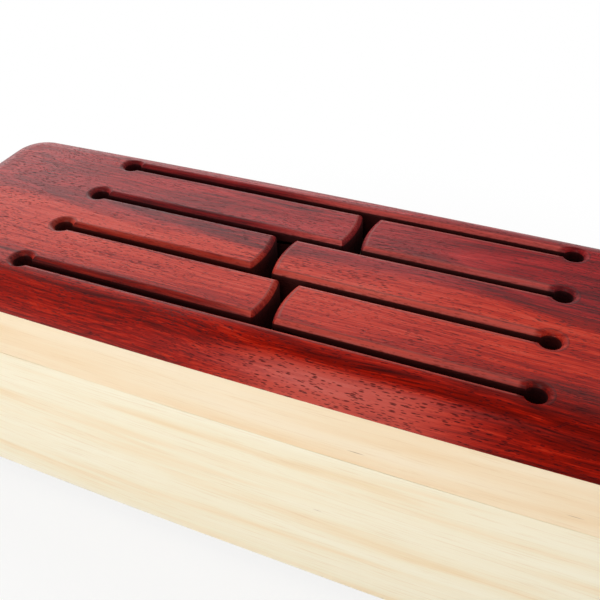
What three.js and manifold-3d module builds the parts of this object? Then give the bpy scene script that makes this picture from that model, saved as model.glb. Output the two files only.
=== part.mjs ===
// A six-tongue slit drum: a padauk tongue plate glued on a box of pale boards.
// Millimetres. X runs along the drum, Y away from the player, Z up.
// The origin is on the floor, under the middle of the drum.

import * as THREE from 'three';
import { mergeVertices } from 'three/addons/utils/BufferGeometryUtils.js';
import Module from 'manifold-3d';

const wasm = await Module();
wasm.setup();

// Slots and tongues

const slotPitch = 41; // between neighbouring slots, across the drum
const slotKerf = 4.5;
const slotHoleDiameter = 12.3; // drilled where each slot ends
const slotHoleSpan = 306; // between the two holes of one slot
const slotEdgeRound = 4.1; // round-over along every slot, hole and tongue edge
const tongueTipRadius = 64; // the free ends bulge towards each other
const tongueCornerRadius = 2;
const easedCornerRadius = 0.4; // least corner left where the round-over meets itself
const stripGaps = [
  { strip: -1, x: 6.4, width: 6.4 },
  { strip: 0, x: -13.5, width: 7.6 },
  { strip: 1, x: 27.9, width: 6 },
];

// Plan of the drum and of its tongue plate

const endMargin = 108; // from the slot holes to the end of the drum
const sideMargin = 27; // from the outer slots to the widest part of the drum
const sideBow = 3.3; // how far the long sides draw in towards the ends
const topCornerRadius = 8.5; // corner of the flat top, inside its round-over
const plateEdgeRound = 21.5;
const plateEdgeFlat = 1; // upright strip of padauk under the round-over

// Tuning hollows cut across the underside of the tongues, near their roots

const hollowRadius = 40;
const hollowFromRoot = 40;
const hollowDepths = { left: [8, 7, 9.5], right: [7.5, 8.5, 6] };

// Box

const wallThickness = 18;
const upperBoardHeight = 37;
const lowerBoardHeight = 120;
const baseEdgeRound = 3;
const glueLine = 0.1;
const panelThickness = 9;
const soundHoleDiameter = 60;
const soundHoleRound = 2;
const postWidth = 24;
const postChamfer = 9;
const cleatWidth = 12;
const cleatHeight = 14;
const cleatChamfer = 4;
const braceWidth = 22;
const braceHeight = 32;
const braceRound = 6;
const braceClearance = 6; // between the brace and the slot holes

// Feet and their screws

const footHeight = 9;
const footTopDiameter = 24;
const footBaseDiameter = 21;
const footEdgeRound = 1.5;
const footRecessDiameter = 11;
const footRecessDepth = 5.5;
const screwLength = 25;
const screwShankDiameter = 3.5;
const screwTipLength = 3;
const screwHeadDiameter = 7.6;
const screwHeadHeight = 2.4;
const screwClearance = 0.3;
const pilotClearance = 0.15;
const pilotSpare = 2;
const washerDiameter = 9.5;
const washerThickness = 1;

// Fineness of the round shapes

const cornerSteps = 10;
const longSideSteps = 12;
const plateRoundSteps = 9;
const baseRoundSteps = 3;
const slotRoundSteps = 5;
const slotHoleSteps = 28;
const tipSteps = 8;
const tipCornerSteps = 3;
const hollowSteps = 10;
const soundHoleSteps = 36;
const smallRoundSteps = 2;
const footSteps = 24;
const screwSteps = 16;
const screwDomeSteps = 4;
const braceRoundSteps = 4;
const cutExtra = 2; // how far a cutter reaches past the face that it cuts

// Derived sizes

const drumLength = slotHoleSpan + 2 * endMargin;
const drumWidth = 3 * slotPitch + 2 * sideMargin;
const cornerRadius = topCornerRadius + plateEdgeRound;
const plateThickness = plateEdgeRound + plateEdgeFlat;
const innerLength = drumLength - 2 * wallThickness;
const innerWidth = drumWidth - 2 * wallThickness;
const baseZ = footHeight + glueLine;
const seamZ = baseZ + lowerBoardHeight;
const wallTopZ = seamZ + glueLine + upperBoardHeight;
const plateBaseZ = wallTopZ + glueLine;
const plateTopZ = plateBaseZ + plateThickness;
const panelTopZ = baseZ + panelThickness;
const blockBaseZ = panelTopZ + glueLine;
const blockTopZ = plateBaseZ - glueLine;
const screwSeatZ = footRecessDepth - 2 * glueLine - washerThickness;
const footX = innerLength / 2 - postWidth / 2;
const footY = innerWidth / 2 - postWidth / 2;
const footPlaces = [
  { place: 'front_left', x: -footX, y: -footY },
  { place: 'front_right', x: footX, y: -footY },
  { place: 'rear_left', x: -footX, y: footY },
  { place: 'rear_right', x: footX, y: footY },
];

const quarterTurn = Math.PI / 2;

// Materials, from the photograph

function finish(color, roughness, metalness = 0) {
  return () => new THREE.MeshStandardMaterial({ color, roughness, metalness });
}

const padauk = finish(0xa8403c, 0.42);
const birch = finish(0xf3dfba, 0.5);
const birchPlywood = finish(0xe2c79b, 0.6);
const spruceBlock = finish(0xdcc08e, 0.75);
const blackRubber = finish(0x1c1b1b, 0.85);
const zincSteel = finish(0xb9bcc0, 0.35, 1);

function part(name, geometry, material) {
  const mesh = new THREE.Mesh(geometry, material());
  mesh.name = name;
  return mesh;
}

// Solids for cutting and joining

function solidFrom(geometry) {
  geometry.deleteAttribute('normal');
  geometry.deleteAttribute('uv');
  const merged = mergeVertices(geometry, 1e-4);
  const corners = merged.index.array;
  const triangles = [];
  for (let i = 0; i < corners.length; i += 3) {
    const [a, b, c] = corners.slice(i, i + 3);
    if (a !== b && b !== c && c !== a) {
      triangles.push(a, b, c);
    }
  }
  const mesh = new wasm.Mesh({
    numProp: 3,
    vertProperties: Float32Array.from(merged.attributes.position.array),
    triVerts: Uint32Array.from(triangles),
  });
  return new wasm.Manifold(mesh);
}

function geometryFrom(solid) {
  const mesh = solid.getMesh();
  const geometry = new THREE.BufferGeometry();
  geometry.setAttribute('position', new THREE.BufferAttribute(Float32Array.from(mesh.vertProperties), 3));
  geometry.setIndex(Array.from(mesh.triVerts));
  geometry.computeVertexNormals();
  return geometry;
}

// A closed skin over rings of points that have the same count and climb in Z.
function loft(rings) {
  const count = rings[0].length;
  const positions = rings.flat().flatMap((point) => [point.x, point.y, point.z]);
  const index = [];
  for (let level = 0; level + 1 < rings.length; level += 1) {
    for (let i = 0; i < count; i += 1) {
      const low = level * count + i;
      const lowNext = level * count + ((i + 1) % count);
      index.push(low, lowNext, lowNext + count);
      index.push(low, lowNext + count, low + count);
    }
  }
  const topStart = (rings.length - 1) * count;
  for (const [a, b, c] of THREE.ShapeUtils.triangulateShape(rings[0], [])) {
    index.push(c, b, a);
  }
  for (const [a, b, c] of THREE.ShapeUtils.triangulateShape(rings.at(-1), [])) {
    index.push(topStart + a, topStart + b, topStart + c);
  }
  const geometry = new THREE.BufferGeometry();
  geometry.setAttribute('position', new THREE.Float32BufferAttribute(positions, 3));
  geometry.setIndex(index);
  return geometry;
}

function extrudeUp(shape, bottomZ, topZ, curveSegments = 12) {
  const geometry = new THREE.ExtrudeGeometry(shape, {
    depth: topZ - bottomZ,
    bevelEnabled: false,
    curveSegments,
  });
  geometry.translate(0, 0, bottomZ);
  return geometry;
}

// Extrudes a shape drawn in Y and Z along X.
function extrudeAlongX(shape, startX, endX, curveSegments) {
  const geometry = new THREE.ExtrudeGeometry(shape, {
    depth: endX - startX,
    bevelEnabled: false,
    curveSegments,
  });
  geometry.applyMatrix4(new THREE.Matrix4().makeBasis(
    new THREE.Vector3(0, 1, 0),
    new THREE.Vector3(0, 0, 1),
    new THREE.Vector3(1, 0, 0),
  ));
  geometry.translate(startX, 0, 0);
  return geometry;
}

// Extrudes a shape drawn in X and Z along Y.
function extrudeAlongY(shape, startY, endY, curveSegments) {
  const geometry = new THREE.ExtrudeGeometry(shape, {
    depth: endY - startY,
    bevelEnabled: false,
    curveSegments,
  });
  geometry.rotateX(quarterTurn);
  geometry.translate(0, endY, 0);
  return geometry;
}

function revolve(profile, steps) {
  const geometry = new THREE.LatheGeometry(profile, steps);
  geometry.rotateX(quarterTurn);
  return geometry;
}

function polygon(points) {
  return new THREE.Shape(points.map(([x, y]) => new THREE.Vector2(x, y)));
}

// Plan outline: straight ends, long sides on one large arc each, and round corners
// that touch both. The inset moves the whole line inwards by an even distance.

function planRing(inset, z) {
  const halfLength = drumLength / 2;
  const bowRadius = (halfLength ** 2 + sideBow ** 2) / (2 * sideBow);
  const bowCentreY = bowRadius - drumWidth / 2;
  const cornerX = halfLength - cornerRadius;
  const bowAngle = Math.asin(cornerX / (bowRadius - cornerRadius));
  const cornerY = bowCentreY - (bowRadius - cornerRadius) * Math.cos(bowAngle);
  const quarter = [];
  for (let i = 0; i < longSideSteps / 2; i += 1) {
    const angle = (bowAngle * i) / (longSideSteps / 2);
    const radius = bowRadius - inset;
    quarter.push([radius * Math.sin(angle), bowCentreY - radius * Math.cos(angle)]);
  }
  for (let i = 0; i <= cornerSteps; i += 1) {
    const angle = bowAngle + ((quarterTurn - bowAngle) * i) / cornerSteps;
    const radius = cornerRadius - inset;
    quarter.push([cornerX + radius * Math.sin(angle), cornerY - radius * Math.cos(angle)]);
  }
  const turned = (points, sideX, sideY) => points.map(([x, y]) => new THREE.Vector3(sideX * x, sideY * y, z));
  const back = quarter.toReversed();
  return [
    ...turned(quarter, 1, 1),
    ...turned(back, 1, -1),
    ...turned(quarter.slice(1), -1, -1),
    ...turned(back.slice(0, -1), -1, 1),
  ];
}

// Tongue plate

function plateBlank() {
  const rings = [planRing(0, plateBaseZ)];
  for (let i = 0; i <= plateRoundSteps; i += 1) {
    const angle = (quarterTurn * i) / plateRoundSteps;
    const rise = plateEdgeRound * Math.sin(angle);
    rings.push(planRing(plateEdgeRound * (1 - Math.cos(angle)), plateBaseZ + plateEdgeFlat + rise));
  }
  return solidFrom(loft(rings));
}

// Height and widening of every slot edge, from the sharp wall below to the top face.
function slotEdgeLevels() {
  const levels = [{ z: plateBaseZ - cutExtra, widening: 0 }];
  for (let i = 0; i <= slotRoundSteps; i += 1) {
    const angle = (quarterTurn * i) / slotRoundSteps;
    levels.push({
      z: plateTopZ - slotEdgeRound * (1 - Math.sin(angle)),
      widening: slotEdgeRound * (1 - Math.cos(angle)),
    });
  }
  levels.push({ z: plateTopZ + cutExtra, widening: slotEdgeRound });
  return levels;
}

function slotCutter(y) {
  const side = slotEdgeLevels().map(({ z, widening }) => [slotKerf / 2 + widening, z]);
  const rightSide = side.map(([reach, z]) => [y + reach, z]);
  const leftSide = side.toReversed().map(([reach, z]) => [y - reach, z]);
  const profile = polygon([...rightSide, ...leftSide]);
  return solidFrom(extrudeAlongX(profile, -slotHoleSpan / 2, slotHoleSpan / 2));
}

function slotHoleCutter(x, y) {
  const side = slotEdgeLevels().map(({ z, widening }) => new THREE.Vector2(slotHoleDiameter / 2 + widening, z));
  const lowest = new THREE.Vector2(0, side[0].y);
  const highest = new THREE.Vector2(0, side.at(-1).y);
  const geometry = revolve([lowest, ...side, highest], slotHoleSteps);
  geometry.translate(x, y, 0);
  return solidFrom(geometry);
}

// One gap between the round tips of two tongues, from slot to slot.
function gapRing(gap, widening, z) {
  const tipRadius = tongueTipRadius - widening;
  const tipCentreX = gap.width / 2 + tongueTipRadius;
  const corner = Math.max(tongueCornerRadius - widening, easedCornerRadius);
  const cornerY = (slotPitch - slotKerf) / 2 - widening - corner;
  const cornerX = tipCentreX - Math.sqrt((tipRadius - corner) ** 2 - cornerY ** 2);
  const cornerAngle = Math.asin(cornerY / (tipRadius - corner));
  const upper = [];
  for (let i = 1; i <= tipSteps / 2; i += 1) {
    const angle = (cornerAngle * i) / (tipSteps / 2);
    upper.push([tipCentreX - tipRadius * Math.cos(angle), tipRadius * Math.sin(angle)]);
  }
  for (let i = 1; i <= tipCornerSteps; i += 1) {
    const angle = cornerAngle + ((quarterTurn - cornerAngle) * i) / tipCornerSteps;
    upper.push([cornerX - corner * Math.cos(angle), cornerY + corner * Math.sin(angle)]);
  }
  upper.push([cornerX, slotPitch / 2]);
  const lower = upper.toReversed().map(([x, y]) => [x, -y]);
  const tongueEnd = [...lower, [tipCentreX - tipRadius, 0], ...upper];
  const otherEnd = tongueEnd.toReversed().map(([x, y]) => [-x, y]);
  const stripY = gap.strip * slotPitch;
  return [...tongueEnd, ...otherEnd].map(([x, y]) => new THREE.Vector3(gap.x + x, stripY + y, z));
}

function gapCutter(gap) {
  return solidFrom(loft(slotEdgeLevels().map(({ z, widening }) => gapRing(gap, widening, z))));
}

// A shallow scoop across the underside of one tongue.
function hollowCutter(end, strip, depth) {
  const x = end * (slotHoleSpan / 2 - hollowFromRoot);
  const halfAngle = Math.acos((hollowRadius - depth) / hollowRadius);
  const reach = hollowRadius * Math.sin(halfAngle);
  const shape = new THREE.Shape();
  shape.moveTo(x - reach, plateBaseZ - cutExtra);
  shape.lineTo(x + reach, plateBaseZ - cutExtra);
  shape.lineTo(x + reach, plateBaseZ);
  const centreZ = plateBaseZ + depth - hollowRadius;
  shape.absarc(x, centreZ, hollowRadius, quarterTurn - halfAngle, quarterTurn + halfAngle, false);
  shape.lineTo(x - reach, plateBaseZ - cutExtra);
  const middleY = strip * slotPitch;
  return solidFrom(extrudeAlongY(shape, middleY - slotPitch / 2, middleY + slotPitch / 2, hollowSteps));
}

function tonguePlate() {
  let plate = plateBlank();
  for (const row of [-1.5, -0.5, 0.5, 1.5]) {
    plate = plate.subtract(slotCutter(row * slotPitch));
    for (const end of [-1, 1]) {
      plate = plate.subtract(slotHoleCutter((end * slotHoleSpan) / 2, row * slotPitch));
    }
  }
  for (const gap of stripGaps) {
    plate = plate.subtract(gapCutter(gap));
  }
  for (const strip of [-1, 0, 1]) {
    plate = plate.subtract(hollowCutter(-1, strip, hollowDepths.left[strip + 1]));
    plate = plate.subtract(hollowCutter(1, strip, hollowDepths.right[strip + 1]));
  }
  return geometryFrom(plate);
}

// Box: four walls mitred at the corners, each glued up from a lower and an upper board.

function boxWalls() {
  const rings = [];
  for (let i = 0; i <= baseRoundSteps; i += 1) {
    const angle = (quarterTurn * i) / baseRoundSteps;
    const inset = baseEdgeRound * (1 - Math.sin(angle));
    rings.push(planRing(inset, baseZ + baseEdgeRound * (1 - Math.cos(angle))));
  }
  rings.push(planRing(0, wallTopZ));
  const height = wallTopZ - baseZ + 2 * cutExtra;
  const cavity = new THREE.BoxGeometry(innerLength, innerWidth, height);
  cavity.translate(0, 0, (wallTopZ + baseZ) / 2);
  return solidFrom(loft(rings)).subtract(solidFrom(cavity));
}

// Plan shape that holds one wall, bounded by the two mitres.
// The wall faces along outX, outY.
function mitredShape(outX, outY) {
  const shift = glueLine * Math.SQRT1_2;
  const corner = (turn, reach) => {
    const alongX = -outY * turn;
    const alongY = outX * turn;
    const x = ((outX + alongX) * innerLength) / 2 + (outX + alongX) * reach + outX * shift;
    const y = ((outY + alongY) * innerWidth) / 2 + (outY + alongY) * reach + outY * shift;
    return [x, y];
  };
  const inward = -wallThickness / 2;
  const outward = 2 * wallThickness;
  return polygon([corner(-1, inward), corner(-1, outward), corner(1, outward), corner(1, inward)]);
}

function wallBoards() {
  const walls = boxWalls();
  const boards = [];
  const sides = { front: [0, -1], rear: [0, 1], left_end: [-1, 0], right_end: [1, 0] };
  for (const [side, [outX, outY]] of Object.entries(sides)) {
    const shape = mitredShape(outX, outY);
    const lower = walls.intersect(solidFrom(extrudeUp(shape, baseZ - cutExtra, seamZ)));
    const upper = walls.intersect(solidFrom(extrudeUp(shape, seamZ + glueLine, wallTopZ + cutExtra)));
    boards.push(part(`${side}_lower_board`, geometryFrom(lower), birch));
    boards.push(part(`${side}_upper_board`, geometryFrom(upper), birch));
  }
  return boards;
}

function roundHoleCutter(x, y, diameter, bottomZ, topZ) {
  const geometry = new THREE.CylinderGeometry(diameter / 2, diameter / 2, topZ - bottomZ, screwSteps);
  geometry.rotateX(quarterTurn);
  geometry.translate(x, y, (topZ + bottomZ) / 2);
  return solidFrom(geometry);
}

function soundHoleCutter() {
  const radius = soundHoleDiameter / 2;
  const rounded = [];
  for (let i = 0; i <= smallRoundSteps; i += 1) {
    const angle = (quarterTurn * i) / smallRoundSteps;
    const widening = soundHoleRound * (1 - Math.sin(angle));
    rounded.push([radius + widening, soundHoleRound * (1 - Math.cos(angle))]);
  }
  const profile = [
    new THREE.Vector2(0, baseZ - cutExtra),
    new THREE.Vector2(radius + soundHoleRound, baseZ - cutExtra),
    ...rounded.map(([reach, rise]) => new THREE.Vector2(reach, baseZ + rise)),
    ...rounded.toReversed().map(([reach, rise]) => new THREE.Vector2(reach, panelTopZ - rise)),
    new THREE.Vector2(radius + soundHoleRound, panelTopZ + cutExtra),
    new THREE.Vector2(0, panelTopZ + cutExtra),
  ];
  return solidFrom(revolve(profile, soundHoleSteps));
}

function bottomPanel() {
  const board = new THREE.BoxGeometry(innerLength - 2 * glueLine, innerWidth - 2 * glueLine, panelThickness);
  board.translate(0, 0, (panelTopZ + baseZ) / 2);
  let panel = solidFrom(board).subtract(soundHoleCutter());
  const holeDiameter = screwShankDiameter + 2 * screwClearance;
  for (const { x, y } of footPlaces) {
    panel = panel.subtract(roundHoleCutter(x, y, holeDiameter, baseZ - cutExtra, panelTopZ + cutExtra));
  }
  return part('bottom_panel', geometryFrom(panel), birchPlywood);
}

// Glue blocks in the four corners, drilled for the foot screws.
function cornerPost({ place, x, y }) {
  const towardX = -Math.sign(x);
  const towardY = -Math.sign(y);
  const wallX = -towardX * (innerLength / 2 - glueLine);
  const wallY = -towardY * (innerWidth / 2 - glueLine);
  const outline = [
    [0, 0],
    [postWidth, 0],
    [postWidth, postWidth - postChamfer],
    [postWidth - postChamfer, postWidth],
    [0, postWidth],
  ].map(([alongX, alongY]) => [wallX + towardX * alongX, wallY + towardY * alongY]);
  const post = solidFrom(extrudeUp(polygon(outline), blockBaseZ, blockTopZ));
  const pilotDiameter = screwShankDiameter + 2 * pilotClearance;
  const pilotTopZ = screwSeatZ + screwLength + pilotSpare;
  const pilot = roundHoleCutter(x, y, pilotDiameter, blockBaseZ - cutExtra, pilotTopZ);
  return part(`corner_post_${place}`, geometryFrom(post.subtract(pilot)), spruceBlock);
}

// Strips that hold the bottom panel, between the corner posts.
function cleatProfile(wall, toward) {
  return polygon([
    [0, 0],
    [cleatWidth, 0],
    [cleatWidth, cleatHeight - cleatChamfer],
    [cleatWidth - cleatChamfer, cleatHeight],
    [0, cleatHeight],
  ].map(([reach, rise]) => [wall + toward * reach, blockBaseZ + rise]));
}

function bottomCleats() {
  const halfLong = innerLength / 2 - postWidth - 2 * glueLine;
  const halfShort = innerWidth / 2 - postWidth - 2 * glueLine;
  const cleats = [];
  for (const [side, name] of [[-1, 'front'], [1, 'rear']]) {
    const profile = cleatProfile(side * (innerWidth / 2 - glueLine), -side);
    cleats.push(part(`bottom_cleat_${name}`, extrudeAlongX(profile, -halfLong, halfLong), spruceBlock));
  }
  for (const [side, name] of [[-1, 'left'], [1, 'right']]) {
    const profile = cleatProfile(side * (innerLength / 2 - glueLine), -side);
    cleats.push(part(`bottom_cleat_${name}`, extrudeAlongY(profile, -halfShort, halfShort), spruceBlock));
  }
  return cleats;
}

// A bar under the plate beyond the slot holes, from wall to wall, that clamps the roots.
function crossBrace(side, name) {
  const middleX = side * (slotHoleSpan / 2 + slotHoleDiameter / 2 + braceClearance + braceWidth / 2);
  const left = middleX - braceWidth / 2;
  const right = middleX + braceWidth / 2;
  const low = blockTopZ - braceHeight;
  const shape = new THREE.Shape();
  shape.moveTo(left, blockTopZ);
  shape.lineTo(left, low + braceRound);
  shape.absarc(left + braceRound, low + braceRound, braceRound, Math.PI, 1.5 * Math.PI, false);
  shape.lineTo(right - braceRound, low);
  shape.absarc(right - braceRound, low + braceRound, braceRound, -quarterTurn, 0, false);
  shape.lineTo(right, blockTopZ);
  const reach = innerWidth / 2 - glueLine;
  return part(`${name}_cross_brace`, extrudeAlongY(shape, -reach, reach, braceRoundSteps), birch);
}

// Feet: a rubber cone with a washer and a pan-head screw sunk in it.

function footProfile() {
  const hole = screwShankDiameter / 2 + screwClearance;
  const base = footBaseDiameter / 2;
  const edge = [];
  for (let i = 0; i <= smallRoundSteps; i += 1) {
    const angle = (quarterTurn * i) / smallRoundSteps;
    edge.push(new THREE.Vector2(
      base - footEdgeRound * (1 - Math.sin(angle)),
      footEdgeRound * (1 - Math.cos(angle)),
    ));
  }
  return [
    new THREE.Vector2(hole, footRecessDepth),
    new THREE.Vector2(footRecessDiameter / 2, footRecessDepth),
    new THREE.Vector2(footRecessDiameter / 2, 0),
    ...edge,
    new THREE.Vector2(footTopDiameter / 2, footHeight),
    new THREE.Vector2(hole, footHeight),
    new THREE.Vector2(hole, footRecessDepth),
  ];
}

function washerProfile() {
  const hole = screwShankDiameter / 2 + screwClearance;
  const top = footRecessDepth - glueLine;
  const bottom = top - washerThickness;
  return [
    new THREE.Vector2(hole, bottom),
    new THREE.Vector2(washerDiameter / 2, bottom),
    new THREE.Vector2(washerDiameter / 2, top),
    new THREE.Vector2(hole, top),
    new THREE.Vector2(hole, bottom),
  ];
}

function screwProfile() {
  const dome = [];
  for (let i = 0; i <= screwDomeSteps; i += 1) {
    const angle = (quarterTurn * i) / screwDomeSteps;
    dome.push(new THREE.Vector2(
      (screwHeadDiameter / 2) * Math.sin(angle),
      screwSeatZ - screwHeadHeight * Math.cos(angle),
    ));
  }
  return [
    ...dome,
    new THREE.Vector2(screwShankDiameter / 2, screwSeatZ),
    new THREE.Vector2(screwShankDiameter / 2, screwSeatZ + screwLength - screwTipLength),
    new THREE.Vector2(0, screwSeatZ + screwLength),
  ];
}

function footSet({ place, x, y }) {
  const set = new THREE.Group();
  set.position.set(x, y, 0);
  set.add(
    part(`foot_${place}`, revolve(footProfile(), footSteps), blackRubber),
    part(`washer_${place}`, revolve(washerProfile(), screwSteps), zincSteel),
    part(`screw_${place}`, revolve(screwProfile(), screwSteps), zincSteel),
  );
  return set;
}

const drum = new THREE.Group();
drum.name = 'slit_drum';
drum.add(part('tongue_plate', tonguePlate(), padauk));
drum.add(...wallBoards());
drum.add(bottomPanel());
drum.add(...footPlaces.map(cornerPost));
drum.add(...bottomCleats());
drum.add(crossBrace(-1, 'left'));
drum.add(crossBrace(1, 'right'));
drum.add(...footPlaces.map(footSet));

export default drum;
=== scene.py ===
import math

import bmesh
import bpy
from mathutils import Matrix, Vector


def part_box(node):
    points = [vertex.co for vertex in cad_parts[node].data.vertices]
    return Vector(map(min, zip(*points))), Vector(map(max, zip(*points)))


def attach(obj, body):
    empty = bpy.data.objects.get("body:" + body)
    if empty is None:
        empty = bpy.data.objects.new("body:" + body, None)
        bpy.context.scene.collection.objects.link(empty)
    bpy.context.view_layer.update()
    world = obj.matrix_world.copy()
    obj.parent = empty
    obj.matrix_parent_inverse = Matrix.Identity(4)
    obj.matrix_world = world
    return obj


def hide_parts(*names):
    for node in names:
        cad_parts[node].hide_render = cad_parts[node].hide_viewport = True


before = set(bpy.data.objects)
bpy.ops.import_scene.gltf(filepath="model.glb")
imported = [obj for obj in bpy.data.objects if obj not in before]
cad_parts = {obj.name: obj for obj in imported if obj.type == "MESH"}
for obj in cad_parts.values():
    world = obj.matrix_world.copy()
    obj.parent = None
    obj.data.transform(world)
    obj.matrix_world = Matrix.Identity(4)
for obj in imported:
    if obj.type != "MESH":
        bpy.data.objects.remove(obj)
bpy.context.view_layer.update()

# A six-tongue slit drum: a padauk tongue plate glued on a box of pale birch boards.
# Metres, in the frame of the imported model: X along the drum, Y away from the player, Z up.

MM = 0.001

# Sizes of the tongue plate, as in the model's source. Only the drilled holes differ: they
# are 12.3 mm there. Each gap has its strip, its middle and its width.

PLATE_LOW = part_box("tongue_plate")[0].z
PLATE_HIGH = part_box("tongue_plate")[1].z
HALF_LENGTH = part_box("tongue_plate")[1].x
HALF_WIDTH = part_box("tongue_plate")[1].y
SIDE_BOW = 3.3 * MM
EDGE_ROUND = 21.5 * MM
EDGE_FLAT = 1.0 * MM
CORNER_RADIUS = 30.0 * MM
SLOT_PITCH = 41.0 * MM
SLOT_KERF = 4.5 * MM
SLOT_ROWS = 4
SLOT_ROUND = 4.1 * MM
HOLE_DIAMETER = 10.8 * MM
HOLE_SPAN = 306.0 * MM
TIP_RADIUS = 64.0 * MM
TIP_CORNER = 2.0 * MM
EASED_CORNER = 0.4 * MM
GAPS = ((-1, 6.4 * MM, 6.4 * MM), (0, -13.5 * MM, 7.6 * MM), (1, 27.9 * MM, 6.0 * MM))
HOLLOW_RADIUS = 40.0 * MM
HOLLOW_FROM_ROOT = 40.0 * MM
HOLLOW_DEPTHS = {-1: (8.0 * MM, 7.0 * MM, 9.5 * MM), 1: (7.5 * MM, 8.5 * MM, 6.0 * MM)}
HOLLOW_HALF_WIDTH = 0.49 * SLOT_PITCH

# Boards: how their edges are eased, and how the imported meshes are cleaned

EASED_BOARD = 0.35 * MM
MERGE_DISTANCE = 0.01 * MM
FLAT_DEGREES = 0.5
SHARP_DEGREES = 32.0
BOARD_SHIFT = Vector((0.37, 0.11, 0.23))

# Fineness of the round shapes

EDGE_STEPS = 22
SIDE_STEPS = 20
CORNER_STEPS = 20
SLOT_ROUND_STEPS = 9
HOLE_STEPS = 64
TIP_STEPS = 12
TIP_CORNER_STEPS = 6
HOLLOW_STEPS = 24
CUT_EXTRA = 2.0 * MM

# Feet, washers and screws. Each level of the driver's cross has its height over the head's
# top toward the tip, its half length and its half width.

CORNERS = ("front_left", "front_right", "rear_left", "rear_right")
FOOT_X = 231.0 * MM
FOOT_Y = 58.5 * MM
FOOT_TOP = 12.0 * MM
FOOT_BASE = 10.5 * MM
FOOT_HEIGHT = 9.0 * MM
FOOT_ROUND = 1.5 * MM
RECESS_RADIUS = 5.5 * MM
RECESS_DEPTH = 5.5 * MM
RECESS_LIP = 0.4 * MM
SCREW_HOLE = 2.05 * MM
WASHER_RADIUS = 4.75 * MM
WASHER_TOP = 5.4 * MM
WASHER_THICKNESS = 1.0 * MM
WASHER_EASE = 0.12 * MM
SCREW_SEAT = 4.3 * MM
HEAD_RADIUS = 3.8 * MM
HEAD_HEIGHT = 2.4 * MM
CROSS_LEVELS = ((-0.5 * MM, 2.5 * MM, 0.60 * MM), (1.8 * MM, 1.1 * MM, 0.35 * MM))
SHANK_RADIUS = 1.75 * MM
CORE_RADIUS = 1.2 * MM
PLAIN_SHANK = 4.0 * MM
THREAD_START = 0.3 * MM
TIP_LENGTH = 3.0 * MM
SCREW_LENGTH = 25.0 * MM
THREAD_PITCH = 1.6 * MM
ROWS_PER_PITCH = 6
TURNED_STEPS = 48
ROUND_STEPS = 8

# Wood patterns

# Middle along X of the painted highlight and pink sheen on the front edge, where pores also crowd
SHEEN_PATCH_X = 61.0 * MM
GROWTH_RING = 4.5 * MM
PLY_COUNT = 7
SPRUCE_RING = 3.2 * MM
WAVE_PER_METRE = 0.31 / (2 * math.pi)

# Stage. The floor fades to white between two distances from the drum's middle. Its shadow
# starts inside the drum's outline and is full further in, along X and along Y.

FLOOR_REACH = 6.0
FLOOR_FADE = (0.26, 0.50)
SHADOW_START = 12.0 * MM
SHADOW_FULL = {"X": 50.0 * MM, "Y": 45.0 * MM}
LAMP_AIM = Vector((0.0, 0.0, 0.12))
CAMERA_PLACE = (0.16177, -0.34951, 0.46025)
CAMERA_DEGREES = (24.484, 38.36, 1.93)
FOCAL_LENGTH_IN_PICTURES = 789.19 / 600


def linear(code):
    """Turns an sRGB hex colour into the linear colour that a shader takes."""
    shares = [int(code[i:i + 2], 16) / 255 for i in (1, 3, 5)]
    lit = [c / 12.92 if c <= 0.04045 else ((c + 0.055) / 1.055) ** 2.4 for c in shares]
    return (*lit, 1.0)


def add_node(tree, kind, inputs=None, stops=None, **settings):
    """Adds a node with its settings and its ramp stops. Each input takes a value, a socket that
    feeds it, or a node that feeds it with its first output."""
    made = tree.nodes.new(kind)
    for name, value in settings.items():
        setattr(made, name, value)
    for socket, value in (inputs or {}).items():
        if isinstance(value, bpy.types.Node):
            value = value.outputs[0]
        if isinstance(value, bpy.types.NodeSocket):
            tree.links.new(value, made.inputs[socket])
        else:
            made.inputs[socket].default_value = value
    if stops:
        elements = made.color_ramp.elements
        while len(elements) < len(stops):
            elements.new(0.5)
        for element, (position, colour) in zip(elements, stops):
            element.position = position
            grey = (colour, colour, colour, 1.0)
            element.color = linear(colour) if isinstance(colour, str) else grey
    return made


# Sockets of the Mix node that holds colours
FACTOR, FIRST, SECOND, MIXED = 0, 6, 7, 2


def start_material(name):
    """A new material and its empty tree."""
    material = bpy.data.materials.new(name)
    material.use_nodes = True
    material.node_tree.nodes.clear()
    return material, material.node_tree


def add_surface(material, inputs):
    """Gives the material its Principled shader."""
    surface = add_node(material.node_tree, "ShaderNodeBsdfPrincipled", inputs)
    add_node(material.node_tree, "ShaderNodeOutputMaterial", {"Surface": surface})
    return material


def add_grained_surface(material, inputs, noise, sheen, strength, depth):
    """The same, with a roughness between the two of sheen and a fine relief, both by one noise."""
    rough = add_node(
        material.node_tree, "ShaderNodeMapRange",
        {"Value": noise, "From Min": 0.3, "From Max": 0.7, "To Min": sheen[0], "To Max": sheen[1]},
    )
    bump = add_node(
        material.node_tree, "ShaderNodeBump",
        {"Height": noise, "Strength": strength, "Distance": depth},
    )
    return add_surface(material, {**inputs, "Roughness": rough, "Normal": bump})


def grain_noise(tree, place, size_mm, seed=0.0, detail=2.0, rough=0.5):
    """Noise whose lumps measure about size_mm along, across and through the grain."""
    stretched = add_node(
        tree, "ShaderNodeMapping",
        {"Vector": place, "Scale": [1000.0 / size for size in size_mm],
         "Location": (seed, seed * 1.7, seed * 0.6)},
    )
    return add_node(
        tree, "ShaderNodeTexNoise",
        {"Vector": stretched, "Scale": 1.0, "Detail": detail, "Roughness": rough},
    )


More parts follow.
